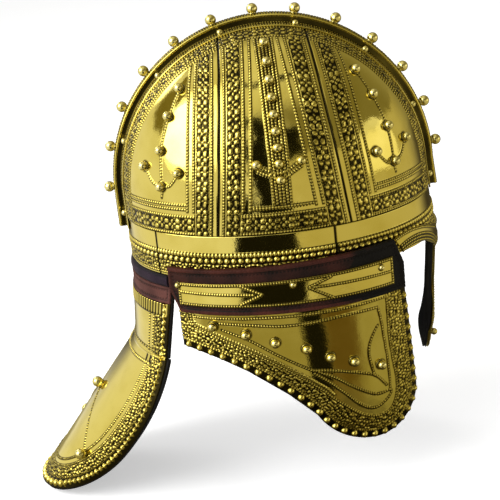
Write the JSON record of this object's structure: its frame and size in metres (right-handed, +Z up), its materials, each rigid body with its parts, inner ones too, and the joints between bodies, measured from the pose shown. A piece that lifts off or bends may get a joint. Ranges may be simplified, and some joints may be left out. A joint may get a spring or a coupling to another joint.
{
  "type": "roman cavalry helmet",
  "caption": "Late Roman ridge helmet sheathed in embossed brass, with a beaded ridge, a nasal, hinged cheek guards and a flared, leather-lined neck guard",
  "frame": {"origin": "centre of the bowl's rim, level with its lower edge, between the ears", "axes": "+X to the face, +Y to the wearer's left, +Z up to the crown"},
  "size_m": [0.3237, 0.1968, 0.3418],
  "materials": {
    "sheet_brass": "polished sheet, embossed and darkened in the hollows",
    "stud_brass": "polished, round-headed",
    "skull_steel": "dark hammered steel",
    "liner_leather": "plain brown hide",
    "band_leather": "smooth dark red-brown hide with a rolled edge",
    "lining_leather": "black hide"
  },
  "bodies": {
    "bowl": {"head_liner": "liner_leather", "skull_half_right": "skull_steel", "skull_half_left": "skull_steel", "rear_panel_right": "sheet_brass", "rear_panel_left": "sheet_brass", "middle_panel_right": "sheet_brass", "middle_panel_left": "sheet_brass", "front_panel_right": "sheet_brass", "front_panel_left": "sheet_brass", "rear_studs_right": "stud_brass", "rear_studs_left": "stud_brass", "middle_studs_right": "stud_brass", "middle_studs_left": "stud_brass", "front_studs_right": "stud_brass", "front_studs_left": "stud_brass", "rim_band_rear": "sheet_brass", "rim_band_front": "sheet_brass", "rim_band_right": "sheet_brass", "rim_band_left": "sheet_brass", "rim_roll": "band_leather", "ridge": "sheet_brass", "ridge_balls": "stud_brass", "ridge_rivets_right": "stud_brass", "ridge_rivets_left": "stud_brass", "nasal_plate": "sheet_brass", "nasal_lining": "lining_leather", "nasal_balls": "stud_brass"},
    "right_band": {"hinge_leather_right": "band_leather", "strap_plate_right": "sheet_brass", "strap_rivets_right": "stud_brass"},
    "right_cheek": {"cheek_plate_right": "sheet_brass", "cheek_lining_right": "lining_leather", "cheek_studs_right": "stud_brass"},
    "left_band": {"hinge_leather_left": "band_leather", "strap_plate_left": "sheet_brass", "strap_rivets_left": "stud_brass"},
    "left_cheek": {"cheek_plate_left": "sheet_brass", "cheek_lining_left": "lining_leather", "cheek_studs_left": "stud_brass"},
    "neck_guard": {"neck_hinge_leather": "band_leather", "neck_upper_plate": "sheet_brass", "neck_flare_plate": "sheet_brass", "neck_upper_lining": "lining_leather", "neck_flare_lining": "lining_leather", "neck_balls": "stud_brass"}
  },
  "joints": [
    {"name": "right_band_hinge", "type": "hinge", "parent": "bowl", "child": "right_band", "pos_m": [0, -0.09563, 0.0095], "axis": [-1, 0, 0], "range_deg": [0, 20]},
    {"name": "right_cheek_hinge", "type": "hinge", "parent": "right_band", "child": "right_cheek", "pos_m": [0, -0.09563, -0.0245], "axis": [-1, 0, 0], "range_deg": [0, 50]},
    {"name": "left_band_hinge", "type": "hinge", "parent": "bowl", "child": "left_band", "pos_m": [0, 0.09563, 0.0095], "axis": [1, 0, 0], "range_deg": [0, 20]},
    {"name": "left_cheek_hinge", "type": "hinge", "parent": "left_band", "child": "left_cheek", "pos_m": [0, 0.09563, -0.0245], "axis": [1, 0, 0], "range_deg": [0, 50]},
    {"name": "neck_hinge", "type": "hinge", "parent": "bowl", "child": "neck_guard", "pos_m": [-0.1106, 0, -0.00915], "axis": [0, 1, 0], "range_deg": [0, 25]}
  ]
}
